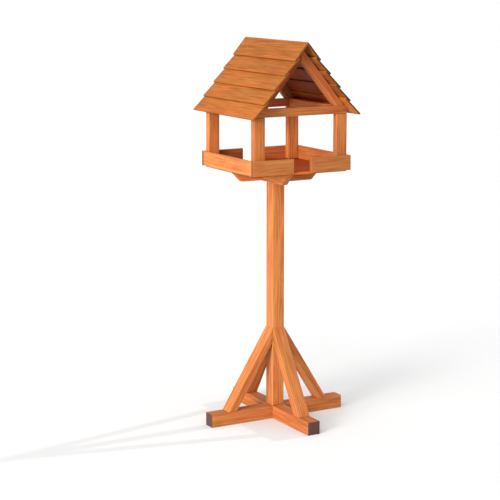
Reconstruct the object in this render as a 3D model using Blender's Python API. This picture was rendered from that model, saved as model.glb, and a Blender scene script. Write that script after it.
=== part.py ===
"""Wooden bird table: a gabled feeding house on a braced post with a cross-shaped base.

Metres, +Z up. The origin is the middle of the base's underside. X runs across the gables, from the
left eave to the right one, and Y runs along the ridge, from the front gable to the back one.
"""

from math import asin, atan2, cos, pi, radians, sin, tan

import bmesh
import bpy
from mathutils import Matrix, Vector

# Fits
GAP = 0.0003  # between faces that touch
HOLE_GAP = 0.0004  # all round a screw or nail in its hole
ARRIS = 0.0008  # planed edges are eased by this much

# Base and post, of one square stock
STOCK = 0.044
BASE_LENGTH = 0.507
POST_LENGTH = 0.805

# Braces, one down each face of the post
BRACE_THICKNESS = 0.0275
BRACE_TOE = 0.192  # from the post's axis to the outer end of the foot
BRACE_TOP = 0.272  # from the foot up to the end of the outer face

# Brackets round the head of the post, each overlapping the next like a pinwheel
BRACKET_DEPTH = 0.038
BRACKET_THICKNESS = 0.021
BRACKET_REACH = 0.151  # from the post's axis to the tip, along the top
BRACKET_SPLAY = radians(45)

# Tray
TRAY_WIDTH = 0.369
TRAY_LENGTH = 0.346
WALL_THICKNESS = 0.010
WALL_HEIGHT = 0.049
WALL_DROP = 0.0046  # how far the walls reach below the top of the floor
FLOOR_THICKNESS = 0.009
END_OPENING = 0.064  # gap in the middle of each end wall, to sweep the tray clean

# House frame
CORNER_POST_WIDTH = 0.040
FRAME_THICKNESS = 0.021
CORNER_POST_LENGTH = 0.1805
RAIL_DEPTH = 0.027  # of the tie beams, side plates and rafters
RAFTER_TOE_INSET = 0.0127  # from the end of a tie beam to the tip of a rafter

# Roof
PITCH = radians(49.55)
BOARDS_PER_SLOPE = 5
BOARD_THICKNESS = 0.0055
BOARD_LAP = 0.0175
EAVE_OVERHANG = 0.0272
GABLE_OVERHANG = 0.0395

# Fasteners: head radius, head height, shank radius, length, length of the point
POST_SCREW = (0.0065, 0.0040, 0.0032, 0.090, 0.009)
FOOT_SCREW = (0.0045, 0.0028, 0.0022, 0.060, 0.007)
BRACKET_SCREW = (0.0040, 0.0025, 0.0019, 0.036, 0.006)
FLOOR_SCREW = (0.0036, 0.0022, 0.0017, 0.034, 0.005)
BRACE_NAIL = (0.0024, 0.0010, 0.0013, 0.034, 0.004)
FLUSH = 0.0005  # how far a visible head is sunk
COUNTERBORE = 0.006  # how far a head under the base is sunk
FOOT_SCREW_INSET = 0.006  # from the middle of a brace's foot towards the post
BRACE_NAIL_DROP = 0.018  # from the top of a brace down to its nail
FLOOR_SCREW_REACH = 0.085  # along a bracket from the post's axis
SIDES = 12

# Levels
POST_FOOT = STOCK + GAP
FLOOR_BOTTOM = POST_FOOT + POST_LENGTH + GAP
FLOOR_TOP = FLOOR_BOTTOM + FLOOR_THICKNESS
BRACKET_TOP = FLOOR_BOTTOM - GAP
BRACKET_MIDDLE = BRACKET_TOP - BRACKET_DEPTH / 2
WALL_BOTTOM = FLOOR_TOP - WALL_DROP
CORNER_POST_TOP = FLOOR_TOP + GAP + CORNER_POST_LENGTH
TIE_BOTTOM = CORNER_POST_TOP + GAP
TIE_TOP = TIE_BOTTOM + RAIL_DEPTH
RAFTER_SEAT = TIE_TOP + GAP

# Half sizes of what stands inside the tray walls
FRAME_X = TRAY_WIDTH / 2 - WALL_THICKNESS - GAP
FRAME_Y = TRAY_LENGTH / 2 - WALL_THICKNESS - GAP

# The roof surface runs through the lower outer edges of the boards. A point on a slope is given by
# its distance down the slope from the ridge and its height above that surface.
SLOPE_LENGTH = (FRAME_X + EAVE_OVERHANG) / cos(PITCH)
EXPOSURE = (SLOPE_LENGTH - BOARD_LAP) / BOARDS_PER_SLOPE
BOARD_WIDTH = EXPOSURE + BOARD_LAP
BOARD_TILT = asin((BOARD_THICKNESS + GAP) / EXPOSURE)
RAFTER_DEPTH = BOARD_WIDTH * sin(BOARD_TILT) + BOARD_THICKNESS * cos(BOARD_TILT) + GAP
RAFTER_PEAK = RAFTER_SEAT + (FRAME_X - RAFTER_TOE_INSET) * tan(PITCH)
RIDGE = RAFTER_PEAK + RAFTER_DEPTH / cos(PITCH)
ROOF_Y = FRAME_Y + GABLE_OVERHANG

QUARTERS = ("right", "back", "left", "front")


def clear_scene():
    for item in list(bpy.data.objects):
        bpy.data.objects.remove(item, do_unlink=True)


def finish(name, color, roughness, metallic=0.0):
    material = bpy.data.materials.new(name)
    material.use_nodes = True
    shader = material.node_tree.nodes["Principled BSDF"]
    shader.inputs["Base Color"].default_value = (*color, 1.0)
    shader.inputs["Roughness"].default_value = roughness
    shader.inputs["Metallic"].default_value = metallic
    return material


def add_object(name, mesh, material, turn=0.0):
    """Link an object that shows the mesh turned about the post's axis."""
    item = bpy.data.objects.new(name, mesh)
    bpy.context.scene.collection.objects.link(item)
    item.rotation_euler.z = turn
    if material and not mesh.materials:
        mesh.materials.append(material)
    return item


def ease_edges(item):
    bevel = item.modifiers.new("eased_edges", "BEVEL")
    bevel.width = ARRIS
    bevel.segments = 1
    bevel.limit_method = "ANGLE"


def timber(name, mesh, material, turn=0.0):
    item = add_object(name, mesh, material, turn)
    ease_edges(item)
    return item


def cut(item, cutter):
    boolean = item.modifiers.new(cutter.name, "BOOLEAN")
    boolean.operation = "DIFFERENCE"
    boolean.object = cutter


def hide_cutter(item):
    item.hide_render = True
    item.display_type = "WIRE"
    return item


def prism_mesh(name, outline, start, along):
    """Extrude a flat outline, given by its corners in space, from its own plane by a vector."""
    bm = bmesh.new()
    face = bm.faces.new([bm.verts.new(Vector(corner) + start) for corner in outline])
    end = bmesh.ops.extrude_face_region(bm, geom=[face])["geom"]
    bmesh.ops.translate(bm, verts=[v for v in end if isinstance(v, bmesh.types.BMVert)], vec=along)
    bmesh.ops.recalc_face_normals(bm, faces=bm.faces)
    mesh = bpy.data.meshes.new(name)
    bm.to_mesh(mesh)
    bm.free()
    return mesh


def box_mesh(name, low, high):
    (x0, y0, z0), (x1, y1, z1) = low, high
    outline = [(x0, y0, z0), (x1, y0, z0), (x1, y1, z0), (x0, y1, z0)]
    return prism_mesh(name, outline, Vector(), Vector((0, 0, z1 - z0)))


def gable_prism(name, outline, y0, y1):
    """A length along Y of an outline given in X and Z."""
    corners = [(x, y0, z) for x, z in outline]
    return prism_mesh(name, corners, Vector(), Vector((0, y1 - y0, 0)))


# ---------------------------------------------------------------- fasteners


def turned_mesh(name, profile):
    """Turn a profile of (radius, depth) about Z, from the head's top down to the point."""
    bm = bmesh.new()
    verts = [bm.verts.new((radius, 0, -depth)) for radius, depth in profile]
    edges = [bm.edges.new(pair) for pair in zip(verts, verts[1:])]
    bmesh.ops.spin(bm, geom=verts + edges, axis=(0, 0, 1), cent=(0, 0, 0), steps=SIDES, angle=2 * pi)
    bmesh.ops.remove_doubles(bm, verts=bm.verts, dist=1e-6)
    bmesh.ops.recalc_face_normals(bm, faces=bm.faces)
    mesh = bpy.data.meshes.new(name)
    bm.to_mesh(mesh)
    bm.free()
    mesh.shade_smooth()
    mesh.set_sharp_from_angle(angle=radians(35))
    return mesh


def fastener_profile(size, grow=0.0, above=0.0):
    """Countersunk head, shank and point. A hole's profile is grown and starts above the head."""
    head, head_height, shank, length, point = size
    rim = head_height * 0.15
    return [
        (0, -above),
        (head + grow, -above),
        (head + grow, rim + grow),
        (shank + grow, head_height + grow),
        (shank + grow, length - point + grow),
        (0, length + 2 * grow),
    ]


def drive(name, size, surface, direction, sunk, timbers, material):
    """Drive a screw or nail from a point on a face, and drill its hole in each timber it passes."""
    place = Matrix.Translation(surface + direction * sunk)
    turn = direction.to_track_quat("-Z", "Y").to_matrix().to_4x4()
    screw = add_object(name, turned_mesh(name, fastener_profile(size)), material)
    hole_profile = fastener_profile(size, HOLE_GAP, sunk + 0.002)
    hole = add_object(name + "_hole", turned_mesh(name + "_hole", hole_profile), None)
    for item in (screw, hole):
        item.matrix_world = place @ turn
    for piece in timbers:
        cut(piece, hide_cutter(hole))


# ---------------------------------------------------------------- base and post


def make_base(material):
    """Two timbers halved over each other. The lower one runs along X and is notched on top."""
    half, side, level = BASE_LENGTH / 2, STOCK / 2, STOCK / 2
    lower = timber(
        "base_timber_lower",
        box_mesh("base_timber_lower", (-half, -side, 0), (half, side, STOCK)),
        material,
    )
    upper = timber(
        "base_timber_upper",
        box_mesh("base_timber_upper", (-side, -half, 0), (side, half, STOCK)),
        material,
    )
    edge, past = side + GAP, STOCK
    notch_top = box_mesh("notch_top", (-edge, -past, level - GAP / 2), (edge, past, STOCK + past))
    notch_bottom = box_mesh("notch_bottom", (-past, -edge, -past), (past, edge, level + GAP / 2))
    cut(lower, hide_cutter(add_object("notch_top", notch_top, None)))
    cut(upper, hide_cutter(add_object("notch_bottom", notch_bottom, None)))
    return lower, upper


def make_post(material):
    side = STOCK / 2
    low, high = (-side, -side, POST_FOOT), (side, side, POST_FOOT + POST_LENGTH)
    return timber("post", box_mesh("post", low, high), material)


def brace_slope():
    """Angle of a brace from the ground."""
    return atan2(BRACE_TOP - GAP, BRACE_TOE - STOCK / 2 - GAP)


def make_braces(material):
    """Each brace stands on the base with a level cut and meets the post with a plumb one."""
    slope = brace_slope()
    face = STOCK / 2 + GAP
    foot = POST_FOOT
    top = STOCK + BRACE_TOP
    outline = [
        (face, top),
        (BRACE_TOE, foot),
        (BRACE_TOE - BRACE_THICKNESS / sin(slope), foot),
        (face, top - BRACE_THICKNESS / cos(slope)),
    ]
    mesh = gable_prism("brace", outline, -STOCK / 2, STOCK / 2)
    return [
        timber("brace_" + side, mesh, material, turn=quarter * pi / 2)
        for quarter, side in enumerate(QUARTERS)
    ]


def make_brackets(material):
    """Each bracket starts level with one face of the post, passes it and ends in a splayed cut."""
    inner = STOCK / 2 + GAP
    bottom = BRACKET_TOP - BRACKET_DEPTH
    outline = [
        (-STOCK / 2, BRACKET_TOP),
        (BRACKET_REACH, BRACKET_TOP),
        (BRACKET_REACH - BRACKET_DEPTH / tan(BRACKET_SPLAY), bottom),
        (-STOCK / 2, bottom),
    ]
    mesh = gable_prism("head_bracket", outline, -inner - BRACKET_THICKNESS, -inner)
    return [
        timber("head_bracket_" + side, mesh, material, turn=(quarter + 1) * pi / 2)
        for quarter, side in enumerate(QUARTERS)
    ]


# ---------------------------------------------------------------- tray and house frame


def make_tray(wall_material, floor_material):
    """The side walls stand between the end walls, which have a gap in the middle to sweep through."""
    low, high = (-FRAME_X, -FRAME_Y, FLOOR_BOTTOM), (FRAME_X, FRAME_Y, FLOOR_TOP)
    floor = timber("tray_floor", box_mesh("tray_floor", low, high), floor_material)
    outer_x, outer_y = TRAY_WIDTH / 2, TRAY_LENGTH / 2
    inner_x, inner_y = outer_x - WALL_THICKNESS, outer_y - WALL_THICKNESS
    top = WALL_BOTTOM + WALL_HEIGHT
    low, high = (inner_x, GAP - inner_y, WALL_BOTTOM), (outer_x, inner_y - GAP, top)
    side_wall = box_mesh("tray_side", low, high)
    timber("tray_side_right", side_wall, wall_material)
    timber("tray_side_left", side_wall, wall_material, turn=pi)
    for side, near, far in (("left", -outer_x, -END_OPENING / 2), ("right", END_OPENING / 2, outer_x)):
        for end, y0, y1 in (("front", -outer_y, -inner_y), ("back", inner_y, outer_y)):
            name = "tray_end_%s_%s" % (end, side)
            wall = box_mesh(name, (near, y0, WALL_BOTTOM), (far, y1, top))
            timber(name, wall, wall_material)
    return floor


def make_corner_posts(material):
    low = (FRAME_X - CORNER_POST_WIDTH, FRAME_Y - FRAME_THICKNESS, FLOOR_TOP + GAP)
    high = (FRAME_X, FRAME_Y, CORNER_POST_TOP)
    for end, y in (("front", -1), ("back", 1)):
        for side, x in (("left", -1), ("right", 1)):
            name = "corner_post_%s_%s" % (end, side)
            xs = sorted((x * low[0], x * high[0]))
            ys = sorted((y * low[1], y * high[1]))
            mesh = box_mesh(name, (xs[0], ys[0], low[2]), (xs[1], ys[1], high[2]))
            timber(name, mesh, material)


def make_top_frame(material):
    """Tie beams across the gables and side plates between them, bevelled to seat the eave boards."""
    bevels = {side: eave_bevel(side, turn) for side, turn in (("right", 0), ("left", pi))}
    for end, turn in (("front", 0), ("back", pi)):
        low = (-FRAME_X, -FRAME_Y, TIE_BOTTOM)
        high = (FRAME_X, FRAME_THICKNESS - FRAME_Y, TIE_TOP)
        name = "tie_beam_" + end
        beam = timber(name, box_mesh(name, low, high), material, turn)
        for bevel in bevels.values():
            cut(beam, bevel)
    reach = FRAME_Y - FRAME_THICKNESS - GAP
    for side, turn in (("right", 0), ("left", pi)):
        low = (FRAME_X - CORNER_POST_WIDTH, -reach, TIE_BOTTOM)
        high = (FRAME_X, reach, TIE_TOP)
        name = "side_plate_" + side
        plate = timber(name, box_mesh(name, low, high), material, turn)
        cut(plate, bevels[side])


# ---------------------------------------------------------------- roof


def on_slope(down, above):
    """X and Z of a point on the right slope."""
    x = down * cos(PITCH) + above * sin(PITCH)
    z = RIDGE - down * sin(PITCH) + above * cos(PITCH)
    return x, z


def board_outline(number):
    """Section of a board. The ridge board lies flat on the roof surface, the others are tilted."""
    tilt = BOARD_TILT if number else 0.0
    edge = Vector((BOARD_WIDTH + number * EXPOSURE, 0))
    uphill = Vector((-cos(tilt), -sin(tilt)))
    inward = Vector((sin(tilt), -cos(tilt)))
    corners = [
        edge,
        edge + uphill * BOARD_WIDTH,
        edge + uphill * BOARD_WIDTH + inward * BOARD_THICKNESS,
        edge + inward * BOARD_THICKNESS,
    ]
    return [on_slope(*corner) for corner in corners]


def ridge_outline():
    """The ridge board ends in a plumb cut against the one on the other slope."""
    lower_outer, _, _, lower_inner = board_outline(0)
    meet = GAP / 2
    drop = meet * tan(PITCH)
    outer = (meet, RIDGE - drop)
    inner = (meet, RIDGE - BOARD_THICKNESS / cos(PITCH) - drop)
    return [outer, lower_outer, lower_inner, inner]


def make_roof_boards(material):
    for number in range(BOARDS_PER_SLOPE):
        outline = board_outline(number) if number else ridge_outline()
        mesh = gable_prism("roof_board_%d" % (number + 1), outline, -ROOF_Y, ROOF_Y)
        for side, turn in (("right", 0), ("left", pi)):
            timber("roof_board_%s_%d" % (side, number + 1), mesh, material, turn)


def eave_bevel(side, turn):
    """Cutter with its lower face just under the lowest board."""
    _, _, upper_inner, lower_inner = board_outline(BOARDS_PER_SLOPE - 1)
    uphill = (Vector(upper_inner) - Vector(lower_inner)).normalized()
    outward = Vector((-uphill.y, uphill.x))
    if outward.x < 0:
        outward = -outward
    start = Vector(lower_inner) - uphill * BOARD_WIDTH - outward * GAP
    end = Vector(upper_inner) + uphill * BOARD_WIDTH - outward * GAP
    thick = outward * BOARD_WIDTH
    outline = [start, end, end + thick, start + thick]
    mesh = gable_prism("eave_bevel_" + side, outline, -ROOF_Y, ROOF_Y)
    return hide_cutter(add_object("eave_bevel_" + side, mesh, None, turn))


def make_rafters(material):
    """Rafters lie flush with the tie beams' outer faces and meet in a plumb cut at the ridge."""
    meet = GAP / 2
    toe = FRAME_X - RAFTER_TOE_INSET
    heel = toe - RAIL_DEPTH / sin(PITCH)
    peak = RAFTER_PEAK - meet * tan(PITCH)
    outline = [
        (meet, peak),
        (toe, RAFTER_SEAT),
        (heel, RAFTER_SEAT),
        (meet, peak - RAIL_DEPTH / cos(PITCH)),
    ]
    front, inside = -FRAME_Y, FRAME_THICKNESS - FRAME_Y
    for end, y0, y1 in (("front", front, inside), ("back", -inside, -front)):
        mesh = gable_prism("rafter_" + end, outline, y0, y1)
        timber("rafter_%s_right" % end, mesh, material)
    for end, y0, y1 in (("front", -inside, -front), ("back", front, inside)):
        mesh = gable_prism("rafter_" + end, outline, y0, y1)
        timber("rafter_%s_left" % end, mesh, material, turn=pi)


# ---------------------------------------------------------------- fixings


def spun(vector, quarter):
    return Matrix.Rotation(quarter * pi / 2, 3, "Z") @ Vector(vector)


def fix_post(base, post, screw_material):
    drive(
        "post_screw",
        POST_SCREW,
        Vector((0, 0, 0)),
        Vector((0, 0, 1)),
        COUNTERBORE,
        [*base, post],
        screw_material,
    )


def fix_braces(base, braces, post, screw_material, nail_material):
    """A screw up through the base into each foot, and a nail square to each brace into the post."""
    slope = brace_slope()
    foot_middle = BRACE_TOE - BRACE_THICKNESS / sin(slope) / 2
    head_height = STOCK + BRACE_TOP - BRACE_NAIL_DROP
    head_x = STOCK / 2 + GAP + BRACE_NAIL_DROP / tan(slope)
    for quarter, (side, brace) in enumerate(zip(QUARTERS, braces)):
        drive(
            "brace_foot_screw_" + side,
            FOOT_SCREW,
            spun((foot_middle - FOOT_SCREW_INSET, 0, 0), quarter),
            Vector((0, 0, 1)),
            COUNTERBORE,
            [base[quarter % 2], brace],
            screw_material,
        )
        drive(
            "brace_top_nail_" + side,
            BRACE_NAIL,
            spun((head_x, 0, head_height), quarter),
            spun((-sin(slope), 0, -cos(slope)), quarter),
            FLUSH,
            [brace, post],
            nail_material,
        )


def fix_head(brackets, post, floor, screw_material):
    """A screw through each bracket into the post, and one through the floor into each bracket."""
    inner = STOCK / 2 + GAP
    outer = inner + BRACKET_THICKNESS
    for quarter, (side, bracket) in enumerate(zip(QUARTERS, brackets)):
        turn = quarter + 1
        drive(
            "bracket_screw_" + side,
            BRACKET_SCREW,
            spun((0, -outer, BRACKET_MIDDLE), turn),
            spun((0, 1, 0), turn),
            FLUSH,
            [bracket, post],
            screw_material,
        )
        drive(
            "floor_screw_" + side,
            FLOOR_SCREW,
            spun((FLOOR_SCREW_REACH, -inner - BRACKET_THICKNESS / 2, FLOOR_TOP), turn),
            Vector((0, 0, -1)),
            FLUSH,
            [floor, bracket],
            screw_material,
        )


def main():
    clear_scene()
    frame_wood = finish("stained_frame_timber", (0.52, 0.19, 0.055), 0.55)
    tray_wood = finish("stained_tray_board", (0.56, 0.22, 0.065), 0.55)
    floor_wood = finish("stained_floor_panel", (0.40, 0.13, 0.04), 0.6)
    roof_wood = finish("stained_roof_board", (0.54, 0.21, 0.06), 0.6)
    screw_steel = finish("zinc_plated_screw", (0.62, 0.60, 0.55), 0.35, 1.0)
    nail_steel = finish("steel_nail", (0.35, 0.33, 0.30), 0.45, 1.0)

    base = make_base(frame_wood)
    post = make_post(frame_wood)
    braces = make_braces(frame_wood)
    brackets = make_brackets(frame_wood)
    floor = make_tray(tray_wood, floor_wood)
    make_corner_posts(frame_wood)
    make_top_frame(frame_wood)
    make_rafters(frame_wood)
    make_roof_boards(roof_wood)
    fix_post(base, post, screw_steel)
    fix_braces(base, braces, post, screw_steel, nail_steel)
    fix_head(brackets, post, floor, screw_steel)


main()
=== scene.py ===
"""Looks for a wooden bird table: stained softwood timbers, lapped roof boards, screws and nails."""

import random
from math import asin, atan2, cos, pi, radians, sin, tan

import bpy
from mathutils import Matrix, Vector


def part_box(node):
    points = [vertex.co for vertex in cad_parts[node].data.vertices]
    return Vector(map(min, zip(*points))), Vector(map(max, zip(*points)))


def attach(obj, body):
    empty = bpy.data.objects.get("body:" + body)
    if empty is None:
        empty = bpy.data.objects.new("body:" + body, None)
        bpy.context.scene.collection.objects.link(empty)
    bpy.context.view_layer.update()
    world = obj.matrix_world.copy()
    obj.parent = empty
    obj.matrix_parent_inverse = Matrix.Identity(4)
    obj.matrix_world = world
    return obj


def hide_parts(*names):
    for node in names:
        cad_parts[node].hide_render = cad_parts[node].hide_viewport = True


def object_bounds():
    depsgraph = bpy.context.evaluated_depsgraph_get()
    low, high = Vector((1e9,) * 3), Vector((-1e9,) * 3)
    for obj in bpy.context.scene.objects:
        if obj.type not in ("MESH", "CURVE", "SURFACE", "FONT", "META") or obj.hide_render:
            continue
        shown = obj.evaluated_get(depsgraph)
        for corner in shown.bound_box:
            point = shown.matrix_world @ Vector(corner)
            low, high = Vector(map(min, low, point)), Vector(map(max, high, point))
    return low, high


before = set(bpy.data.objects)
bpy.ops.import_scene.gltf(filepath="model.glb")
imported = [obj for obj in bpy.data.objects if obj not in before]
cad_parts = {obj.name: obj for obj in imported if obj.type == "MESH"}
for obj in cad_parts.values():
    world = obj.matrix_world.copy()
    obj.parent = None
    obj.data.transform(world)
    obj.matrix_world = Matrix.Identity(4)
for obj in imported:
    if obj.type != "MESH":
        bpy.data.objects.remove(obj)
cad_box = [list(corner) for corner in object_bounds()]

# Fits and sections that the tilted timbers share with the frame
GAP = 0.0003
STOCK = 0.044
BRACE_THICKNESS = 0.0275
BRACE_TOE = 0.192
BRACE_TOP = 0.272
BRACE_NAIL_DROP = 0.018
FOOT_SCREW_INSET = 0.006
FLOOR_SCREW_REACH = 0.085
BRACKET_REACH = 0.151
RAIL_DEPTH = 0.027
FRAME_THICKNESS = 0.021
RAFTER_TOE_INSET = 0.0127
PITCH = radians(49.55)
BOARDS_PER_SLOPE = 5
BOARD_THICKNESS = 0.0055
BOARD_LAP = 0.0175
EAVE_OVERHANG = 0.0272
GABLE_OVERHANG = 0.0395

# Eased edges of the stand's timbers, of the house frame, of the tray walls, and of thin boards
ARRIS = 0.0016
FRAME_ARRIS = 0.0012
WALL_ARRIS = 0.0011
THIN_ARRIS = 0.0008

# Radius and depth of the sinkings for the heads of screws and nails, and how far a head is let in
BASE_SCREW_SINKING = (0.0052, 0.0061)
POST_SCREW_SINKING = (0.0072, 0.0061)
BRACE_NAIL_SINKING = (0.0027, 0.0006)
BRACKET_SCREW_SINKING = (0.0044, 0.0006)
FLOOR_SCREW_SINKING = (0.0040, 0.0006)
BASE_HEAD_LEVEL = 0.006
LET_IN = 0.0005

FLOOR_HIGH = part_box("tray_floor")[1]
FRAME_X, FRAME_Y = FLOOR_HIGH[0], FLOOR_HIGH[1]
POST_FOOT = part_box("post")[0][2]
BRACKET_LOW, BRACKET_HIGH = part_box("head_bracket_front")
RAFTER_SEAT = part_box("tie_beam_front")[1][2] + GAP
SLOPE_LENGTH = (FRAME_X + EAVE_OVERHANG) / cos(PITCH)
EXPOSURE = (SLOPE_LENGTH - BOARD_LAP) / BOARDS_PER_SLOPE
BOARD_WIDTH = EXPOSURE + BOARD_LAP
BOARD_TILT = asin((BOARD_THICKNESS + GAP) / EXPOSURE)
RAFTER_DEPTH = BOARD_WIDTH * sin(BOARD_TILT) + BOARD_THICKNESS * cos(BOARD_TILT) + GAP
RAFTER_PEAK = RAFTER_SEAT + (FRAME_X - RAFTER_TOE_INSET) * tan(PITCH)
RIDGE = RAFTER_PEAK + RAFTER_DEPTH / cos(PITCH)
ROOF_Y = FRAME_Y + GABLE_OVERHANG
BRACE_SLOPE = atan2(BRACE_TOP - GAP, BRACE_TOE - STOCK / 2 - GAP)

# Where the first fastener of each ring of four goes in
POST_FACE = STOCK / 2 + GAP
FOOT_SCREW_X = BRACE_TOE - BRACE_THICKNESS / sin(BRACE_SLOPE) / 2 - FOOT_SCREW_INSET
BRACE_NAIL_X = POST_FACE + BRACE_NAIL_DROP / tan(BRACE_SLOPE)
BRACE_NAIL_HEAD = Vector((BRACE_NAIL_X, 0, STOCK + BRACE_TOP - BRACE_NAIL_DROP))
INTO_BRACE = Vector((-sin(BRACE_SLOPE), 0, -cos(BRACE_SLOPE)))
BRACKET_SCREW_HEAD = Vector((0, BRACKET_LOW[1], (BRACKET_LOW[2] + BRACKET_HIGH[2]) / 2))
FLOOR_SCREW_HEAD = Vector((FLOOR_SCREW_REACH, -(POST_FACE + FRAME_THICKNESS / 2), FLOOR_HIGH[2]))

QUARTERS = ("right", "back", "left", "front")

# Timbers drawn lighter or darker than the rest: partly stain that took differently, partly painted light and
# shade, with the back corner posts, back tie beam, right side plate, back head bracket and lowest right roof
# board painted lighter as if lit where they lie in shade, the front left rafter darker as if shaded, and the
# two base timbers lighter or darker by the side each shows to the light
STAIN_AND_PAINTED_LIGHT = {
    "base_timber_lower": 1.14,
    "base_timber_upper": 0.92,
    "brace_front": 0.85,
    "head_bracket_left": 1.10,
    "head_bracket_back": 1.35,
    "tray_side_left": 1.07,
    "tray_side_right": 1.09,
    "tray_end_front_left": 0.84,
    "tray_end_front_right": 0.76,
    "tray_end_back_left": 0.71,
    "tray_end_back_right": 1.30,
    "corner_post_back_left": 1.28,
    "corner_post_back_right": 1.45,
    "tie_beam_front": 0.98,
    "tie_beam_back": 1.35,
    "side_plate_right": 1.70,
    "rafter_front_left": 0.82,
    "rafter_front_right": 1.06,
    "roof_board_left_1": 0.93,
    "roof_board_left_2": 0.97,
    "roof_board_right_5": 1.50,
}


# ---------------------------------------------------------------- camera, light and floor


def add_camera():
    camera = bpy.data.cameras.new("camera")
    camera.lens = 114.28
    camera.sensor_width = 36.0
    camera.clip_end = 600.0
    stand = bpy.data.objects.new("camera", camera)
    stand.location = (-2.64545, -4.50937, 1.5435)
    stand.rotation_euler = (radians(79.51), 0.0, radians(-29.47))
    bpy.context.scene.collection.objects.link(stand)
    bpy.context.scene.camera = stand


def add_sun(name, toward, strength, spread, color):
    """A soft distant light that comes from a direction."""
    lamp = bpy.data.lights.new(name, "SUN")
    lamp.energy = strength
    lamp.angle = radians(spread)
    lamp.color = color
    stand = bpy.data.objects.new(name, lamp)
    stand.rotation_euler = Vector(toward).to_track_quat("Z", "Y").to_euler()
    bpy.context.scene.collection.objects.link(stand)


def add_studio():
    """A white room with soft sunlight from the left and a narrow light from behind on the right."""
    scene = bpy.context.scene
    scene.view_settings.view_transform = "Standard"
    world = bpy.data.worlds.new("studio")
    world.use_nodes = True
    background = world.node_tree.nodes["Background"]
    background.inputs["Color"].default_value = (1.0, 1.0, 1.0, 1.0)
    # The room looks white but lights a little less than that, so that shadows keep their depth
    tree = Tree(world.node_tree)
    seen = tree.node("ShaderNodeLightPath").outputs["Is Camera Ray"]
    strength = tree.ramp(seen, 0.0, 1.0, low=0.78, high=1.0)
    tree.feed(strength, background.inputs["Strength"])
    scene.world = world
    warm, white = (1.0, 0.985, 0.96), (1.0, 1.0, 1.0)
    add_sun("key", toward=(-0.90, -0.36, 0.21), strength=3.7, spread=22, color=warm)
    add_sun("high", toward=(-0.75, -0.36, 0.55), strength=2.0, spread=60, color=warm)
    add_sun("rim", toward=(1.0, 0.0, 0.335), strength=1.6, spread=2, color=white)
    bpy.ops.object.select_all(action="DESELECT")
    bpy.ops.mesh.primitive_plane_add(size=500)
    floor = bpy.context.object
    floor.name = "studio_floor"
    material, shader, _ = new_material("studio_floor")
    shader.inputs["Base Color"].default_value = (0.667, 0.673, 0.678, 1.0)
    shader.inputs["Roughness"].default_value = 0.9
    shader.inputs["Specular IOR Level"].default_value = 0.0
    floor.data.materials.append(material)


# ---------------------------------------------------------------- materials


def new_material(name):
    material = bpy.data.materials.new(name)
    material.use_nodes = True
    return material, material.node_tree.nodes["Principled BSDF"], material.node_tree


class Tree:
    """Short calls for building a node tree."""

    def __init__(self, tree):
        self.tree = tree

    def node(self, kind, values=(), **settings):
        node = self.tree.nodes.new(kind)
        for key, value in settings.items():
            setattr(node, key, value)
        for socket, value in dict(values).items():
            self.feed(value, node.inputs[socket])
        return node

    def feed(self, value, socket):
        if isinstance(value, bpy.types.NodeSocket):
            self.tree.links.new(value, socket)
        else:
            socket.default_value = value

    def math(self, operation, first, second=0.0, clamp=False):
        values = {0: first, 1: second}
        return self.node("ShaderNodeMath", values, operation=operation, use_clamp=clamp).outputs[0]

    def stretch(self, vector, scale):
        values = {0: vector, 1: scale}
        return self.node("ShaderNodeVectorMath", values, operation="MULTIPLY").outputs[0]

    def noise(self, vector, scale, detail=2.0, roughness=0.5, output="Fac"):
        values = {"Vector": vector, "Scale": scale, "Detail": detail, "Roughness": roughness}
        return self.node("ShaderNodeTexNoise", values).outputs[output]

    def ramp(self, value, start, end, low=0.0, high=1.0):
        values = {"Value": value, 1: start, 2: end, 3: low, 4: high}
        return self.node("ShaderNodeMapRange", values).outputs[0]

    def blend(self, factor, first, second, mode="MIX"):
        node = self.node("ShaderNodeMix", data_type="RGBA", blend_type=mode)
        self.feed(factor, node.inputs["Factor"])
        self.feed(first, node.inputs["A"])
        self.feed(second, node.inputs["B"])
        return node.outputs["Result"]


def make_group(name, inputs, outputs):
    group = bpy.data.node_groups.new(name, "ShaderNodeTree")
    for label, kind in inputs:
        group.interface.new_socket(label, in_out="INPUT", socket_type=kind)
    for label, kind in outputs:
        group.interface.new_socket(label, in_out="OUTPUT", socket_type=kind)
    tree = Tree(group)
    return tree, tree.node("NodeGroupInput").outputs, tree.node("NodeGroupOutput").inputs, group


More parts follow.
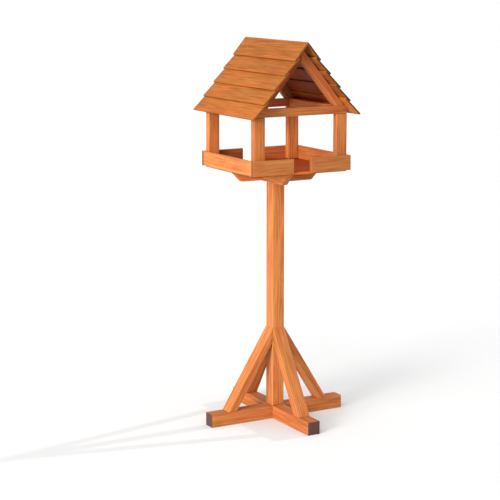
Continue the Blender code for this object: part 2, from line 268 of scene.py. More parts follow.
def make_softwood_group():
    """Growth rings, fibres, streaks, splits and knots in wood whose grain runs along X."""
    tree, given, result, group = make_group(
        "stained_softwood",
        [
            ("Grain", "NodeSocketVector"),
            ("End Grain", "NodeSocketFloat"),
            ("Arris", "NodeSocketFloat"),
            ("Tone", "NodeSocketFloat"),
            ("Painted Shade", "NodeSocketFloat"),
            ("Light Wood", "NodeSocketColor"),
            ("Dark Wood", "NodeSocketColor"),
            ("End Color", "NodeSocketColor"),
            ("Streaks", "NodeSocketFloat"),
            ("Splits", "NodeSocketFloat"),
        ],
        [
            ("Color", "NodeSocketColor"),
            ("Roughness", "NodeSocketFloat"),
            ("Height", "NodeSocketFloat"),
        ],
    )
    # Patterns along the grain, which sways a little
    grain = given["Grain"]
    sway = tree.noise(tree.stretch(grain, (3.0, 14.0, 14.0)), 1.0, output="Color")
    sway = tree.node("ShaderNodeVectorMath", {0: sway, 1: (0.5, 0.5, 0.5)}, operation="SUBTRACT")
    sway = tree.stretch(sway.outputs[0], (0.0, 0.012, 0.012))
    bent = tree.node("ShaderNodeVectorMath", {0: grain, 1: sway}, operation="ADD").outputs[0]
    wave = {"Scale": 52.0, "Distortion": 3.2, "Detail": 2.5, "Detail Scale": 0.9}
    rings = tree.node(
        "ShaderNodeTexWave",
        {"Vector": tree.stretch(bent, (0.03, 1.0, 1.0)), **wave},
        wave_type="RINGS",
        rings_direction="X",
        wave_profile="SAW",
    ).outputs["Fac"]
    fibres = tree.noise(tree.stretch(bent, (22.0, 620.0, 620.0)), 1.0, 3.0, 0.6)
    streaks = tree.noise(tree.stretch(bent, (9.0, 220.0, 220.0)), 1.0, 4.0, 0.62)
    clouds = tree.noise(tree.stretch(bent, (3.0, 8.0, 8.0)), 1.0)
    splits = tree.noise(tree.stretch(bent, (5.0, 150.0, 150.0)), 1.0, 2.0, 0.55)
    splits = tree.math("MULTIPLY", tree.ramp(splits, 0.64, 0.70), given["Splits"])
    cells = tree.node(
        "ShaderNodeTexVoronoi", {"Vector": tree.stretch(bent, (3.2, 6.4, 6.4)), "Scale": 1.0}
    )
    knots = tree.ramp(cells.outputs["Distance"], 0.020, 0.038, 1.0, 0.0)

    # How far each point goes from the light wood to the dark
    dark = tree.math("MULTIPLY", rings, 0.20)
    streaky = tree.math("MULTIPLY", tree.ramp(streaks, 0.42, 0.63), given["Streaks"])
    dark = tree.math("ADD", dark, streaky)
    dark = tree.math("ADD", dark, tree.ramp(fibres, 0.40, 0.70, 0.0, 0.20))
    dark = tree.math("ADD", dark, tree.math("MULTIPLY", knots, 0.6))
    dark = tree.math("ADD", dark, splits, clamp=True)
    color = tree.blend(dark, given["Light Wood"], given["Dark Wood"])

    # Drifts of redder stain, broad light and dark clouds, the piece's tone (partly painted light and shade),
    # painted shade on faces that lie in shade, worn arrises, end grain
    drift = tree.noise(tree.stretch(bent, (6.0, 90.0, 90.0)), 1.0, 3.0, 0.6)
    drift = tree.ramp(drift, 0.38, 0.66, 0.0, 1.5)
    red = tree.math("MULTIPLY", drift, given["Streaks"], clamp=True)
    stain = tree.blend(red, (0.96, 1.10, 0.92, 1.0), (1.06, 0.84, 0.86, 1.0))
    color = tree.blend(1.0, color, stain, "MULTIPLY")
    shade = tree.math("MULTIPLY", tree.ramp(clouds, 0.30, 0.70, 0.84, 1.14), given["Tone"])
    shade = tree.node("ShaderNodeCombineXYZ", {0: shade, 1: shade, 2: shade}).outputs[0]
    color = tree.blend(1.0, color, shade, "MULTIPLY")
    # Painted shade: faces marked as lying in shade are darkened and reddened
    color = tree.blend(given["Painted Shade"], color, (0.93, 0.60, 0.56, 1.0), "MULTIPLY")
    worn = tree.math("MULTIPLY", given["Arris"], tree.ramp(streaks, 0.35, 0.60, 0.15, 0.55))
    color = tree.blend(worn, color, given["Light Wood"])
    rough_end = tree.math("MULTIPLY", given["End Grain"], tree.ramp(fibres, 0.2, 0.8, 1.0, 0.86))
    color = tree.blend(rough_end, color, given["End Color"])

    # Roughness, and a relief that sinks where the wood is soft or split
    rough = tree.math("ADD", tree.ramp(streaks, 0.3, 0.7, 0.42, 0.60), splits)
    rough = tree.math("ADD", rough, tree.math("MULTIPLY", given["End Grain"], 0.2), clamp=True)
    low = tree.math("MULTIPLY", rings, 0.35)
    low = tree.math("ADD", low, tree.math("MULTIPLY", fibres, 0.5))
    low = tree.math("ADD", low, tree.math("MULTIPLY", streaks, 0.6))
    low = tree.math("ADD", low, splits)
    tree.feed(color, result["Color"])
    tree.feed(rough, result["Roughness"])
    tree.feed(tree.math("SUBTRACT", 1.0, low), result["Height"])
    return group


def make_wood(name, light, dark, end, streaks, splits, relief, gloss=0.09):
    """Stained wood that reads its grain, end grain, arrises, tone and painted shade from the piece."""
    material, shader, nodes = new_material(name)
    tree = Tree(nodes)

    def read(label, output):
        return tree.node("ShaderNodeAttribute", attribute_name=label).outputs[output]

    wood = tree.node("ShaderNodeGroup", node_tree=softwood)
    values = {
        "Grain": read("grain", "Vector"),
        "End Grain": read("end_grain", "Fac"),
        "Arris": read("arris", "Fac"),
        "Tone": read("tone", "Fac"),
        "Painted Shade": read("painted_shade", "Fac"),
        "Light Wood": (*light, 1.0),
        "Dark Wood": (*dark, 1.0),
        "End Color": (*end, 1.0),
        "Streaks": streaks,
        "Splits": splits,
    }
    for socket, value in values.items():
        tree.feed(value, wood.inputs[socket])
    bump = tree.node("ShaderNodeBump", {"Height": wood.outputs["Height"]})
    bump.inputs["Strength"].default_value = 0.6
    bump.inputs["Distance"].default_value = relief
    tree.feed(wood.outputs["Color"], shader.inputs["Base Color"])
    tree.feed(wood.outputs["Roughness"], shader.inputs["Roughness"])
    tree.feed(bump.outputs["Normal"], shader.inputs["Normal"])
    shader.inputs["Specular IOR Level"].default_value = gloss
    return material


def make_metal(name, clean, dull, grime):
    """Plated steel with a mottled bloom and fine rubbed scratches."""
    material, shader, nodes = new_material(name)
    tree = Tree(nodes)
    place = tree.node("ShaderNodeTexCoord").outputs["Object"]
    bloom = tree.noise(place, 900.0, 3.0, 0.6)
    rubbed = tree.noise(tree.stretch(place, (4000.0, 4000.0, 300.0)), 1.0, 2.0, 0.5)
    color = tree.blend(tree.ramp(bloom, 0.35, 0.65), (*clean, 1.0), (*dull, 1.0))
    tree.feed(color, shader.inputs["Base Color"])
    tree.feed(tree.ramp(rubbed, 0.3, 0.7, 0.26, grime), shader.inputs["Roughness"])
    bump = tree.node("ShaderNodeBump", {"Height": rubbed})
    bump.inputs["Strength"].default_value = 0.25
    bump.inputs["Distance"].default_value = 0.00005
    tree.feed(bump.outputs["Normal"], shader.inputs["Normal"])
    shader.inputs["Metallic"].default_value = 1.0
    return material


# ---------------------------------------------------------------- timbers


def pick(*pieces):
    bpy.ops.object.select_all(action="DESELECT")
    for piece in pieces:
        piece.select_set(True)
    bpy.context.view_layer.objects.active = pieces[0]


def apply_place(piece, place):
    """Move a piece's mesh to its place and leave the object at the origin."""
    piece.matrix_world = place
    pick(piece)
    bpy.ops.object.transform_apply(location=True, rotation=True, scale=True)


def apply_modifier(piece, kind, **settings):
    modifier = piece.modifiers.new(kind.lower(), kind)
    for key, value in settings.items():
        setattr(modifier, key, value)
    pick(piece)
    bpy.ops.object.modifier_apply(modifier=modifier.name)


def divide_along(piece, axis, cuts):
    """Cut every edge that runs along one of the mesh's axes, and the faces between."""
    pick(piece)
    bpy.ops.object.mode_set(mode="EDIT")
    bpy.ops.mesh.select_mode(type="EDGE")
    bpy.ops.mesh.select_all(action="DESELECT")
    bpy.ops.object.mode_set(mode="OBJECT")
    verts = piece.data.vertices
    for edge in piece.data.edges:
        first, second = (verts[index].co for index in edge.vertices)
        run = second - first
        edge.select = abs(run[axis]) > 0.9 * run.length
    bpy.ops.object.mode_set(mode="EDIT")
    bpy.ops.mesh.subdivide(number_cuts=cuts)
    bpy.ops.object.mode_set(mode="OBJECT")


def saw(piece, cuts):
    """Saw a placed timber through, and throw away what lies on the side each cut faces."""
    pick(piece)
    bpy.ops.object.mode_set(mode="EDIT")
    for point, facing in cuts:
        bpy.ops.mesh.select_all(action="SELECT")
        bpy.ops.mesh.bisect(
            plane_co=point, plane_no=facing, use_fill=True, clear_outer=True, threshold=1e-6
        )
    bpy.ops.object.mode_set(mode="OBJECT")


def carve(piece, cutter):
    apply_modifier(piece, "BOOLEAN", operation="DIFFERENCE", solver="EXACT", object=cutter)
    bpy.data.objects.remove(cutter, do_unlink=True)


def bore(piece, point, direction, radius, depth):
    """A round sinking for a head, from just above a face down to a depth."""
    bpy.ops.object.select_all(action="DESELECT")
    turn = Vector(direction).to_track_quat("Z", "Y").to_matrix().to_4x4()
    above = 0.001
    bpy.ops.mesh.primitive_cylinder_add(vertices=32, radius=radius, depth=depth + above)
    cutter = bpy.context.object
    middle = Vector(point) + Vector(direction) * (depth - above) / 2
    apply_place(cutter, Matrix.Translation(middle) @ turn)
    carve(piece, cutter)


def uneven(piece, axis, amount):
    """Bow and ripple a timber very slightly across one of its own axes."""
    name = "planing_ripple"
    ripple = bpy.data.textures.get(name) or bpy.data.textures.new(name, "CLOUDS")
    ripple.noise_scale = 0.09
    ripple.noise_depth = 1
    apply_modifier(
        piece, "DISPLACE", texture=ripple, direction=axis, strength=amount, texture_coords="LOCAL"
    )


def start_timber(name, size, place, across=3, ripple=0.00022):
    """A squared timber with its grain along its own X, divided finely enough to lie unevenly."""
    bpy.ops.object.select_all(action="DESELECT")
    bpy.ops.mesh.primitive_cube_add(size=1)
    piece = bpy.context.object
    piece.name = piece.data.name = name
    apply_place(piece, Matrix.Diagonal((*size, 1.0)))
    cut_spacing = 0.018
    divide_along(piece, 0, max(2, int(size[0] / cut_spacing)))
    divide_along(piece, 1, across)
    divide_along(piece, 2, across)
    if ripple:
        uneven(piece, "Y", ripple)
        uneven(piece, "Z", ripple)
    apply_place(piece, place)
    return piece


def shade(piece, degrees=35):
    """Shade the rounds smooth and leave the corners sharp."""
    pick(piece)
    bpy.ops.object.shade_smooth_by_angle(angle=radians(degrees))


def number_faces(piece, label, worth):
    """Give each face a number from 0 to 1 under a name that the wood materials read."""
    faces = piece.data.polygons
    layers = piece.data.attributes
    layer = layers.get(label) or layers.new(label, "FLOAT", "FACE")
    layer.data.foreach_set("value", [float(worth(face)) for face in faces])


def ease_arrises(piece, width):
    """Round the sharp edges, and note which faces came from rounding."""
    flats = {tuple(round(part, 1) for part in face.normal) for face in piece.data.polygons}
    flats = [Vector(flat).normalized() for flat in flats]
    apply_modifier(piece, "BEVEL", width=width, segments=3, limit_method="ANGLE")

    def rounded(face):
        return max(face.normal.dot(flat) for flat in flats) < 0.985

    number_faces(piece, "arris", rounded)


def grain_offset(node):
    """Where in the log a timber was sawn, as a shift of its grain, and its tone: at random how it took the
    stain, or the listed tone, which is partly stain and partly painted light and shade.
    """
    draw = random.Random(node)
    side = draw.choice((-1, 1)) * draw.uniform(0.02, 0.07)
    shift = Vector((draw.uniform(0, 9), side, draw.uniform(0.015, 0.06)))
    return shift, STAIN_AND_PAINTED_LIGHT.get(node, draw.uniform(0.95, 1.05))


def write_grain(piece, node, place):
    """Record each point's place in the log, and which faces are end grain."""
    mesh = piece.data
    back = place.inverted()
    shift, tone = grain_offset(node)
    grain = mesh.attributes.new("grain", "FLOAT_VECTOR", "POINT")
    places = [part for vert in mesh.vertices for part in back @ vert.co + shift]
    grain.data.foreach_set("vector", places)
    tones = mesh.attributes.new("tone", "FLOAT", "POINT")
    tones.data.foreach_set("value", [tone] * len(mesh.vertices))
    along = place.to_3x3().col[0].normalized()
    number_faces(piece, "end_grain", lambda face: abs(face.normal.dot(along)) > 0.5)


def shift_grain(piece, node):
    """Give a copy its own stretch of the log."""
    mesh = piece.data
    shift, tone = grain_offset(node)
    grain = mesh.attributes["grain"].data
    places = [0.0] * (3 * len(grain))
    grain.foreach_get("vector", places)
    places = [part + shift[index % 3] * 0.5 for index, part in enumerate(places)]
    grain.foreach_set("vector", places)
    mesh.attributes["tone"].data.foreach_set("value", [tone] * len(mesh.vertices))


def fade_ends(piece, share):
    """Let less of the dark stain into a timber's ends."""
    for end in piece.data.attributes["end_grain"].data:
        end.value *= share


def hand_over(piece, node):
    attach(piece, "root")
    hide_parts(node)


def finish_timber(piece, node, place, wood, arris=ARRIS, sinkings=()):
    ease_arrises(piece, arris)
    for point, direction, radius, depth in sinkings:
        bore(piece, point, direction, radius, depth)
    write_grain(piece, node, place)
    # No painted shade at first; the makers mark the faces that lie in shade
    number_faces(piece, "painted_shade", lambda face: False)
    piece.data.materials.append(wood)
    shade(piece)
    hand_over(piece, node)
    return piece


def copy_timber(piece, node, place):
    """A copy with its own mesh, moved to its own place."""
    pick(piece)
    bpy.ops.object.duplicate(linked=False)
    twin = bpy.context.object
    twin.name = twin.data.name = node + "_timber"
    apply_place(twin, place)
    shift_grain(twin, node)
    hand_over(twin, node)
    return twin


def squared_place(node, along):
    """Size and place of a timber that lies square in the frame, with its grain along X, Y or Z."""
    low, high = (Vector(corner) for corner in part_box(node))
    size = high - low
    turn, order = {
        "X": (Matrix.Identity(4), (0, 1, 2)),
        "Y": (Matrix.Rotation(pi / 2, 4, "Z"), (1, 0, 2)),
        "Z": (Matrix.Rotation(-pi / 2, 4, "Y"), (2, 1, 0)),
    }[along]
    return [size[axis] for axis in order], Matrix.Translation((low + high) / 2) @ turn


def squared_timber(node, along, wood, slot, cuts=(), arris=ARRIS, sinkings=(), **fineness):
    size, place = squared_place(node, along)
    piece = start_timber(node + "_timber", size, place, **fineness)
    saw(piece, cuts)
    return finish_timber(piece, node, place, wood, arris, sinkings)


def slanted_timber(name, size, outer_end, slope, y, cuts, ripple=0.00022):
    """A timber in the plane of X and Z that runs up and inward from its outer face's lower end."""
    uphill = Vector((-cos(slope), 0.0, sin(slope)))
    outward = Vector((sin(slope), 0.0, cos(slope)))
    across = outward.cross(uphill)
    middle = Vector(outer_end) + uphill * (size[0] / 2 - STOCK) - outward * size[2] / 2
    middle.y = y
    place = Matrix((uphill, across, outward)).transposed().to_4x4()
    place.translation = middle
    piece = start_timber(name, size, place, ripple=ripple)
    saw(piece, cuts)
    return piece, place


def quarter_turn(count):
    return Matrix.Rotation(count * pi / 2, 4, "Z")


def spun(vector, quarter):
    return quarter_turn(quarter).to_3x3() @ Vector(vector)


# ---------------------------------------------------------------- base and post


def make_base(wood):
    """Two timbers halved over each other at the middle, bored from beneath for screws."""
    half = STOCK / 2
    for node, along, notched_below in (
        ("base_timber_lower", "X", False),
        ("base_timber_upper", "Y", True),
    ):
        size, place = squared_place(node, along)
        piece = start_timber(node + "_timber", size, place, ripple=0.0)
        bpy.ops.object.select_all(action="DESELECT")
        bpy.ops.mesh.primitive_cube_add(size=1)
        notch = bpy.context.object
        wide, long = STOCK + 2 * GAP, STOCK * 2
        size_xy = (long, wide) if along == "Y" else (wide, long)
        spare = 0.002
        high = half + spare + GAP / 2
        middle = half + (GAP - high) / 2 if notched_below else half - (GAP - high) / 2
        place_there = Matrix.Translation((0, 0, middle))
        apply_place(notch, place_there @ Matrix.Diagonal((*size_xy, high, 1.0)))
        carve(piece, notch)
        quarter = 0 if along == "X" else 1
        for end in (quarter, quarter + 2):
            bore(piece, spun((FOOT_SCREW_X, 0, 0), end), (0, 0, 1), *BASE_SCREW_SINKING)
        if not notched_below:
            bore(piece, (0, 0, 0), (0, 0, 1), *POST_SCREW_SINKING)
        finish_timber(piece, node, place, wood)


def make_post(wood):
    squared_timber("post", "Z", wood, "frame_timber")


def make_braces(wood):
    """One brace is shaped and nailed in the plane of X, and turned round the post for the others."""
    uncut_length = 0.42
    size = (uncut_length, STOCK, BRACE_THICKNESS)
    toe = (BRACE_TOE, 0, POST_FOOT)
    cuts = [((0, 0, POST_FOOT), (0, 0, -1)), ((POST_FACE, 0, 0), (-1, 0, 0))]
    piece, place = slanted_timber(
        "brace_right_timber", size, toe, BRACE_SLOPE, 0.0, cuts, ripple=0.0002
    )
    sinking = (BRACE_NAIL_HEAD, INTO_BRACE, *BRACE_NAIL_SINKING)
    finish_timber(piece, "brace_right", place, wood, sinkings=[sinking])
    for quarter, side in enumerate(QUARTERS[1:], start=1):
        copy_timber(piece, "brace_" + side, quarter_turn(quarter))


def make_brackets(wood):
    """The bracket on the front of the post is shaped, and turned round the post for the others."""
    size, place = squared_place("head_bracket_front", "X")
    piece = start_timber("head_bracket_front_timber", size, place)
    saw(piece, [((BRACKET_REACH, 0, BRACKET_HIGH[2]), (1, 0, -1))])
    sinking = (BRACKET_SCREW_HEAD, (0, 1, 0), *BRACKET_SCREW_SINKING)
    finish_timber(piece, "head_bracket_front", place, wood, sinkings=[sinking])
    fade_ends(piece, 0.4)
    for quarter, side in enumerate(QUARTERS[:3], start=1):
        copy_timber(piece, "head_bracket_" + side, quarter_turn(quarter))


# ---------------------------------------------------------------- tray and house frame


def looks_in(face):
    """Whether an upright face looks toward the post's axis."""
    return face.center.xy.dot(face.normal.xy) < -0.05


def make_tray(wall_wood, floor_wood):
    """The floor, then one side wall and one end wall, with painted shade on the floor's top and the walls'
    inner faces, for the others to copy.
    """
    thin = {"across": 2, "ripple": 0.0002}
    heads = [spun(FLOOR_SCREW_HEAD, quarter) for quarter in range(4)]
    sinkings = [(head, (0, 0, -1), *FLOOR_SCREW_SINKING) for head in heads]
    floor = squared_timber(
        "tray_floor", "X", floor_wood, "floor_panel", arris=THIN_ARRIS, sinkings=sinkings, **thin
    )
    # Painted shade on the floor's top face, which lies in shade under the roof
    number_faces(floor, "painted_shade", lambda face: face.normal.z > 0.5)
    thin["arris"] = WALL_ARRIS
    side = squared_timber("tray_side_right", "Y", wall_wood, "tray_board", **thin)
    # Painted shade on the side wall's inner face
    number_faces(side, "painted_shade", lambda face: 0.4 * looks_in(face))
    turn = quarter_turn(2)
    copy_timber(side, "tray_side_left", turn)
    node = "tray_end_front_right"
    near = squared_timber(node, "X", wall_wood, "tray_board", **thin)
    # Painted shade on the end wall's inner face
    number_faces(near, "painted_shade", lambda face: 0.45 * looks_in(face))
    low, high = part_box(node)
    across = Matrix.Translation((-low[0] - high[0], 0, 0))
    copy_timber(near, "tray_end_front_left", across)
    copy_timber(near, "tray_end_back_left", turn)
    copy_timber(near, "tray_end_back_right", turn @ across)
    fade_ends(near, 0.35)


def make_corner_posts(wood):
    node = "corner_post_front_right"
    first = squared_timber(node, "Z", wood, "frame_timber")
    low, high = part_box(node)
    middle = [(low[axis] + high[axis]) / 2 for axis in range(3)]
    for end, y in (("front", 1), ("back", -1)):
        for side, x in (("left", -1), ("right", 1)):
            name = "corner_post_%s_%s" % (end, side)
            if name == node:
                continue
            shift = Matrix.Translation(((x - 1) * middle[0], (y - 1) * middle[1], 0))
            copy_timber(first, name, shift)


def make_top_frame(wood):
    """The ends of the tie beams and the plates' outer top edges are bevelled under the eaves."""
    _, _, upper, lower = board_section(BOARDS_PER_SLOPE - 1)
    uphill = (upper - lower).normalized()
    outward = Vector((uphill.z, 0.0, -uphill.x))
    point = lower - outward * GAP
    right = (point, outward)
    left = (Vector((-point.x, 0, point.z)), Vector((-outward.x, 0, outward.z)))
    for node in ("tie_beam_front", "tie_beam_back"):
        beam = squared_timber(node, "X", wood, "frame_timber", [left, right], arris=FRAME_ARRIS)
        # Painted shade on the beam's inner face, which lies in shade under the roof
        number_faces(beam, "painted_shade", lambda face: 0.8 * looks_in(face))
    squared_timber("side_plate_left", "Y", wood, "frame_timber", [left], arris=FRAME_ARRIS)
    squared_timber("side_plate_right", "Y", wood, "frame_timber", [right], arris=FRAME_ARRIS)


# ---------------------------------------------------------------- roof


def on_slope(down, above):
    """A point on the right slope, from its distance down from the ridge and height above the slope."""
    x = down * cos(PITCH) + above * sin(PITCH)
    return Vector((x, 0.0, RIDGE - down * sin(PITCH) + above * cos(PITCH)))


def board_section(number):
    """Corners of a board's end: lower outer, upper outer, upper inner, lower inner."""
    tilt = BOARD_TILT if number else 0.0
    down = BOARD_WIDTH + number * EXPOSURE
    along, across = (-cos(tilt), -sin(tilt)), (sin(tilt), -cos(tilt))

    def corner(width, depth):
        return on_slope(
            down + along[0] * width + across[0] * depth, along[1] * width + across[1] * depth
        )

    wide, thick = BOARD_WIDTH, BOARD_THICKNESS
    return [corner(0, 0), corner(wide, 0), corner(wide, thick), corner(0, thick)]


def shade_under_roof(face):
    """Painted shade on a face that looks down, by how far it is kept from the sun: most between the gables,
    less on the overhangs.
    """
    inside = abs(face.center.y) < FRAME_Y - FRAME_THICKNESS / 2
    return (1.0 if inside else 0.35) * (face.normal.z < -0.3)


def make_roof_boards(wood):
    """Each right-hand board is laid at its own tilt, and turned about the post for the left slope."""
    spare = 0.01
    ridge_cuts = [
        ((GAP / 2, 0, 0), (-1, 0, 0)),
        ((0, 0, cad_box[1][2] - 0.0001), (0, 0, 1)),
    ]
    grain = Vector((0, 1, 0))
    for number in range(BOARDS_PER_SLOPE):
        corners = board_section(number)
        uphill = (corners[1] - corners[0]).normalized()
        outward = (corners[0] - corners[3]).normalized()
        wide = BOARD_WIDTH if number else BOARD_WIDTH + spare
        middle = corners[0] + uphill * wide / 2 - outward * BOARD_THICKNESS / 2
        place = Matrix((grain, outward.cross(grain), outward)).transposed().to_4x4()
        place.translation = middle
        right, left = ("roof_board_%s_%d" % (hand, number + 1) for hand in ("right", "left"))
        size = (2 * ROOF_Y, wide, BOARD_THICKNESS)
        piece = start_timber(right + "_timber", size, place, across=4, ripple=0.0002)
        if number == 0:
            saw(piece, ridge_cuts)
        finish_timber(piece, right, place, wood, THIN_ARRIS)
        # Painted shade on the boards' undersides, most under the roof
        number_faces(piece, "painted_shade", shade_under_roof)
        twin = copy_timber(piece, left, quarter_turn(2))
        fade_ends(twin, 0.45)


def make_rafters(wood):
    """One rafter is shaped and copied to the others' places, with painted shade on its face toward the
    inside of the house; the copies carry that face along, so on rafter_back_right and rafter_front_left the
    painted shade falls on the outer face at the gable.
    """
    toe = (FRAME_X - RAFTER_TOE_INSET, 0, RAFTER_SEAT)
    cuts = [((0, 0, RAFTER_SEAT), (0, 0, -1)), ((GAP / 2, 0, 0), (-1, 0, 0))]
    uncut_length = 0.36
    size = (uncut_length, FRAME_THICKNESS, RAIL_DEPTH)
    front = -FRAME_Y + FRAME_THICKNESS / 2
    piece, place = slanted_timber("rafter_front_right_timber", size, toe, PITCH, front, cuts)
    finish_timber(piece, "rafter_front_right", place, wood, FRAME_ARRIS)
    # Painted shade on the rafter's face toward the inside of the house
    number_faces(piece, "painted_shade", lambda face: face.normal.y > 0.5)
    back = Matrix.Translation((0, -2 * front, 0))
    turn = quarter_turn(2)
    for node, move in (
        ("rafter_back_right", back),
        ("rafter_back_left", turn),
        ("rafter_front_left", turn @ back),
    ):
        copy_timber(piece, node, move)


# ---------------------------------------------------------------- screws and nails


def turn_shape(name, rings, sides):
    """Draw a round shape out of a disc, ring by ring down from its head, and close it at a point."""
    bpy.ops.object.select_all(action="DESELECT")
    radius, level = rings[0]
    bpy.ops.mesh.primitive_circle_add(
        vertices=sides, radius=radius, fill_type="NGON", location=(0, 0, level)
    )
    piece = bpy.context.object
    piece.name = piece.data.name = name
    apply_place(piece, piece.matrix_world.copy())
    bpy.ops.object.mode_set(mode="EDIT")
    bpy.ops.mesh.select_mode(type="FACE")
    bpy.ops.mesh.select_all(action="SELECT")
    for (old, above), (new, below) in zip(rings, rings[1:]):
        bpy.ops.mesh.extrude_region_move(TRANSFORM_OT_translate={"value": (0, 0, below - above)})
        scale = max(new, 1e-5) / old
        bpy.ops.transform.resize(value=(scale, scale, 1.0))
    bpy.ops.mesh.merge(type="CENTER")
    bpy.ops.mesh.select_all(action="SELECT")
    bpy.ops.mesh.normals_make_consistent(inside=False)
    bpy.ops.object.mode_set(mode="OBJECT")
    return piece


def make_screw(name, head, head_height, shank, length, point):
    """A countersunk wood screw with a ridged thread and a cross recess in its head."""
    smooth, pitch = length * 0.3, shank * 1.1
    neck = shank * 0.8
    rings = [(head, 0.0), (head, -head_height * 0.15), (neck, -head_height), (neck, -smooth)]
    level = smooth
    while level + pitch < length - point:
        rings += [(shank, -level - pitch * 0.35), (shank, -level - pitch * 0.45)]
        rings += [(shank * 0.7, -level - pitch * 0.8)]
        level += pitch
    rings += [(shank * 0.7, point - length), (1e-5, -length)]
    piece = turn_shape(name, rings, 20)
    for turn in (0, pi / 2):
        bpy.ops.object.select_all(action="DESELECT")
        bpy.ops.mesh.primitive_cube_add(size=1)
        blade = bpy.context.object
        size = Matrix.Diagonal((head * 1.15, head * 0.26, head_height * 1.1, 1.0))
        apply_place(blade, Matrix.Rotation(turn, 4, "Z") @ size)
        carve(piece, blade)
    return piece


def make_nail(name, head, head_height, shank, length, point):
    """A round wire nail with a slightly crowned head."""
    rings = [
        (head * 0.6, 0.0),
        (head * 0.94, -head_height * 0.2),
        (head, -head_height * 0.5),
        (head * 0.94, -head_height),
        (shank, -head_height * 1.15),
        (shank, point - length),
        (1e-5, -length),
    ]
    return turn_shape(name, rings, 20)


def drive(piece, point, direction):
    """Where a fastener goes when it is driven from a point on a face."""
    turn = Vector(direction).to_track_quat("-Z", "Y").to_matrix().to_4x4()
    apply_place(piece, Matrix.Translation(point) @ turn)


def fasten(piece, node, metal):
    piece.data.materials.append(metal)
    shade(piece, 30)
    hand_over(piece, node)


def make_ring_of(piece, stem, metal, first, first_quarter):
    """Set the driven fastener as the first of four, and turn three copies round the post."""
    fasten(piece, stem + first, metal)
    for step in (1, 2, 3):
        side = QUARTERS[(first_quarter + step) % 4]
        pick(piece)
        bpy.ops.object.duplicate(linked=False)
        twin = bpy.context.object
        twin.name = twin.data.name = stem + side + "_driven"
        apply_place(twin, quarter_turn(step))
        hand_over(twin, stem + side)


def make_fasteners(zinc, steel, stained):
    """The post's screw, and four each of the other screws and nails, one to a quarter."""
    post_screw = {"head": 0.0065, "head_height": 0.0040, "shank": 0.0032, "length": 0.090, "point": 0.009}
    foot_screw = {"head": 0.0045, "head_height": 0.0028, "shank": 0.0022, "length": 0.060, "point": 0.007}
    bracket_screw = {"head": 0.0040, "head_height": 0.0025, "shank": 0.0019, "length": 0.036, "point": 0.006}
    floor_screw = {"head": 0.0036, "head_height": 0.0022, "shank": 0.0017, "length": 0.034, "point": 0.005}
    brace_nail = {"head": 0.0024, "head_height": 0.0010, "shank": 0.0013, "length": 0.034, "point": 0.004}

    screw = make_screw("post_screw_driven", **post_screw)
    drive(screw, (0, 0, BASE_HEAD_LEVEL), (0, 0, 1))
    fasten(screw, "post_screw", zinc)

    screw = make_screw("brace_foot_screw_right_driven", **foot_screw)
    drive(screw, (FOOT_SCREW_X, 0, BASE_HEAD_LEVEL), (0, 0, 1))
    make_ring_of(screw, "brace_foot_screw_", zinc, "right", 0)

    nail = make_nail("brace_top_nail_right_driven", **brace_nail)
    drive(nail, BRACE_NAIL_HEAD + INTO_BRACE * LET_IN, INTO_BRACE)
    make_ring_of(nail, "brace_top_nail_", steel, "right", 0)

    screw = make_screw("bracket_screw_front_driven", **bracket_screw)
    drive(screw, BRACKET_SCREW_HEAD + Vector((0, LET_IN, 0)), (0, 1, 0))
    make_ring_of(screw, "bracket_screw_", zinc, "front", 3)

    screw = make_screw("floor_screw_front_driven", **floor_screw)
    drive(screw, FLOOR_SCREW_HEAD - Vector((0, 0, LET_IN)), (0, 0, -1))
    make_ring_of(screw, "floor_screw_", stained, "front", 3)


def tack(nail, name, point, direction):
    """A copy of the nail, driven into a face."""
    pick(nail)
    bpy.ops.object.duplicate(linked=False)
    twin = bpy.context.object
    twin.name = twin.data.name = name
    drive(twin, point, direction)
    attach(twin, "root")


def make_tacks(steel):
    """Stained nails: one where each roof board crosses a rafter, or a tie beam's end at the eaves,
    and two at each end of a tray wall."""
    proud = 0.0002
    nail = make_nail("tack", head=0.0016, head_height=0.0007, shank=0.0008, length=0.020, point=0.003)
    nail.data.materials.append(steel)
    shade(nail, 30)
    hands = (("left", -1), ("right", 1))
    gables = (("front", -1), ("back", 1))
    # How far up a board from its lower edge: past the lap, or at the eaves past the frame's edge
    above_lap = BOARD_LAP + 0.007
    above_eave = (EAVE_OVERHANG + 0.0065) / cos(PITCH)
    for number in range(BOARDS_PER_SLOPE):
        corners = board_section(number)
        rise = above_eave if number == BOARDS_PER_SLOPE - 1 else above_lap
        outward = (corners[0] - corners[3]).normalized()
        head = corners[0] + (corners[1] - corners[0]).normalized() * rise + outward * proud
        for hand, x in hands:
            for gable, y in gables:
                point = (x * head.x, y * (FRAME_Y - FRAME_THICKNESS / 2), head.z)
                name = "roof_tack_%s_%s_%d" % (hand, gable, number + 1)
                tack(nail, name, point, (-x * outward.x, 0, -outward.z))
    wall_low, wall_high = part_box("tray_side_right")
    end_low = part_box("tray_end_front_right")[0]
    post_low, post_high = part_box("corner_post_front_right")
    post_x, post_y = ((post_low[axis] + post_high[axis]) / 2 for axis in (0, 1))
    # Shares of the wall's height, at a side wall and at an end wall, so that no two nails meet
    height = wall_high[2] - wall_low[2]
    levels = (("low", 0.24, 0.34), ("high", 0.66, 0.76))
    for hand, x in hands:
        for gable, y in gables:
            for level, side_share, end_share in levels:
                place = "%s_%s_%s" % (hand, gable, level)
                side = (x * (wall_high[0] + proud), -y * post_y, wall_low[2] + height * side_share)
                tack(nail, "tray_side_tack_" + place, side, (-x, 0, 0))
                end = (x * post_x, -y * (end_low[1] - proud), wall_low[2] + height * end_share)
                tack(nail, "tray_end_tack_" + place, end, (0, -y, 0))
    bpy.data.objects.remove(nail, do_unlink=True)


# ---------------------------------------------------------------- all together

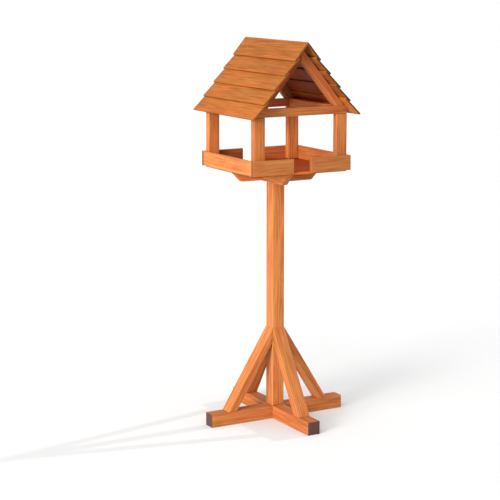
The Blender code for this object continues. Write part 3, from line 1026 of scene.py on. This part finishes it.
add_camera()
add_studio()
softwood = make_softwood_group()
brown_end = (0.150, 0.055, 0.028)
stand_wood = make_wood(
    "stained_post_timber",
    light=(0.54, 0.197, 0.064),
    dark=(0.30, 0.072, 0.018),
    end=brown_end,
    streaks=0.65,
    splits=0.2,
    relief=0.0006,
)
base_wood = make_wood(
    "stained_base_timber",
    light=(0.46, 0.155, 0.052),
    dark=(0.25, 0.058, 0.015),
    end=(0.062, 0.034, 0.034),
    streaks=0.6,
    splits=0.2,
    relief=0.0006,
)
house_wood = make_wood(
    "stained_house_timber",
    light=(0.44, 0.148, 0.047),
    dark=(0.23, 0.052, 0.013),
    end=brown_end,
    streaks=0.6,
    splits=0.2,
    relief=0.0006,
)
wall_wood = make_wood(
    "stained_tray_board",
    light=(0.49, 0.177, 0.057),
    dark=(0.27, 0.064, 0.016),
    end=brown_end,
    streaks=0.55,
    splits=0.2,
    relief=0.0006,
)
floor_wood = make_wood(
    "stained_floor_panel",
    light=(0.52, 0.122, 0.022),
    dark=(0.30, 0.052, 0.009),
    end=(0.110, 0.032, 0.016),
    streaks=0.4,
    splits=0.05,
    relief=0.0005,
    gloss=0.03,
)
roof_wood = make_wood(
    "stained_roof_board",
    light=(0.36, 0.113, 0.0215),
    dark=(0.165, 0.040, 0.0077),
    end=(0.055, 0.022, 0.011),
    streaks=0.52,
    splits=0.35,
    relief=0.0009,
)
zinc = make_metal("zinc_plated_screw", (0.66, 0.62, 0.50), (0.48, 0.45, 0.38), 0.5)
steel = make_metal("steel_nail", (0.30, 0.24, 0.20), (0.20, 0.14, 0.11), 0.6)
stained_steel = make_metal("stained_nail", (0.40, 0.15, 0.06), (0.22, 0.08, 0.035), 0.7)

make_base(base_wood)
make_post(stand_wood)
make_braces(stand_wood)
make_brackets(stand_wood)
make_tray(wall_wood, floor_wood)
make_corner_posts(house_wood)
make_top_frame(house_wood)
make_rafters(house_wood)
make_roof_boards(roof_wood)
make_fasteners(zinc, steel, stained_steel)
make_tacks(stained_steel)
